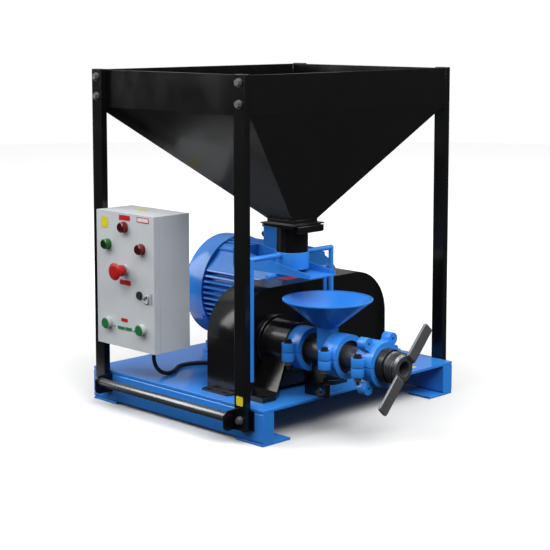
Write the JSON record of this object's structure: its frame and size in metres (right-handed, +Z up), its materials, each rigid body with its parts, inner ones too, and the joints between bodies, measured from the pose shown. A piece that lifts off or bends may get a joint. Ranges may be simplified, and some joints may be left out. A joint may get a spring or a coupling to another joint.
{
  "type": "feed pellet extruder",
  "caption": "Stationary feed pellet extruder with a black feed hopper, blue screw barrel with split clamps and die, motor with belt guard and a control cabinet.",
  "frame": {"origin": "On the floor, under the middle of the machine's whole box.", "axes": "X from the control cabinet's side to the other side, Y from the die end to the motor's rear, Z up."},
  "size_m": [0.917, 1.038, 0.944],
  "materials": {
    "blue_paint": "gloss machine enamel",
    "black_paint": "satin black enamel",
    "dark_steel": "machined, darkened by oil",
    "bright_steel": "worn bright",
    "grey_paint": "powder coat",
    "zinc_plate": "zinc plated",
    "red_plastic": "moulded",
    "green_plastic": "moulded",
    "pale_plastic": "moulded",
    "black_plastic": "moulded",
    "cable_rubber": "smooth sheath"
  },
  "bodies": {
    "machine": {"left_beam": "blue_paint", "right_beam": "blue_paint", "beam_caps": "blue_paint", "deck_plate": "blue_paint", "foot_plates": "blue_paint", "feed_sleeve": "blue_paint", "rod_frame": "blue_paint", "feed_tray": "blue_paint", "tray_rod": "blue_paint", "feed_funnel": "blue_paint", "clamp_1_upper": "blue_paint", "clamp_1_lower": "blue_paint", "clamp_2_upper": "blue_paint", "clamp_2_lower": "blue_paint", "clamp_3_upper": "blue_paint", "clamp_3_lower": "blue_paint", "motor_frame": "blue_paint", "motor_shield": "blue_paint", "motor_cowl": "blue_paint", "motor_feet": "blue_paint", "motor_rails": "blue_paint", "terminal_box": "blue_paint", "post_front_left": "black_paint", "post_rear_left": "black_paint", "post_front_right": "black_paint", "post_rear_right": "black_paint", "post_brackets": "black_paint", "carrying_bars": "black_paint", "hopper_rim": "black_paint", "hopper_cone": "black_paint", "hopper_flange": "black_paint", "gate_frame": "black_paint", "drop_tube": "black_paint", "rod_sockets": "black_paint", "bearing_housing": "black_paint", "bearing_stand": "black_paint", "barrel_support": "black_paint", "belt_guard": "black_paint", "feed_barrel": "dark_steel", "die_barrel": "dark_steel", "die_head": "dark_steel", "screw": "bright_steel", "cabinet_box": "grey_paint", "cabinet_panel": "zinc_plate", "cabinet_hinges": "zinc_plate", "cable_glands": "black_plastic", "cable": "cable_rubber"},
    "gate": {"gate_slide": "black_paint"},
    "door": {"cabinet_door": "grey_paint", "red_lamps": "red_plastic", "green_lamp": "green_plastic", "button_collars": "pale_plastic", "lock_case": "black_plastic"},
    "adjuster": {"die_adjuster": "dark_steel", "die_handle": "dark_steel"},
    "stop": {"stop_button": "red_plastic"},
    "start_left": {"start_button_left": "green_plastic"},
    "start_right": {"start_button_right": "green_plastic"},
    "lock": {"lock_plug": "dark_steel"}
  },
  "joints": [
    {"name": "gate_pull", "type": "slide", "parent": "machine", "child": "gate", "axis": [0, -1, 0], "range_m": [0, 0.09]},
    {"name": "door_swing", "type": "hinge", "parent": "machine", "child": "door", "pos_m": [-0.401, 0.385, 0.372], "axis": [0, 0, -1], "range_deg": [0, 95]},
    {"name": "die_turn", "type": "hinge", "parent": "machine", "child": "adjuster", "pos_m": [-0.1595, -0.493, 0.216], "axis": [0, -1, 0], "range_deg": [-180, 180]},
    {"name": "stop_push", "type": "slide", "parent": "door", "child": "stop", "axis": [1, 0, 0], "range_m": [0, 0.004]},
    {"name": "start_left_push", "type": "slide", "parent": "door", "child": "start_left", "axis": [1, 0, 0], "range_m": [0, 0.003], "stiffness_N_per_m": 400, "springref_m": -0.003},
    {"name": "start_right_push", "type": "slide", "parent": "door", "child": "start_right", "axis": [1, 0, 0], "range_m": [0, 0.003], "stiffness_N_per_m": 400, "springref_m": -0.003},
    {"name": "lock_turn", "type": "hinge", "parent": "door", "child": "lock", "pos_m": [-0.4165, 0.2005, 0.34], "axis": [-1, 0, 0], "range_deg": [0, 90]}
  ]
}
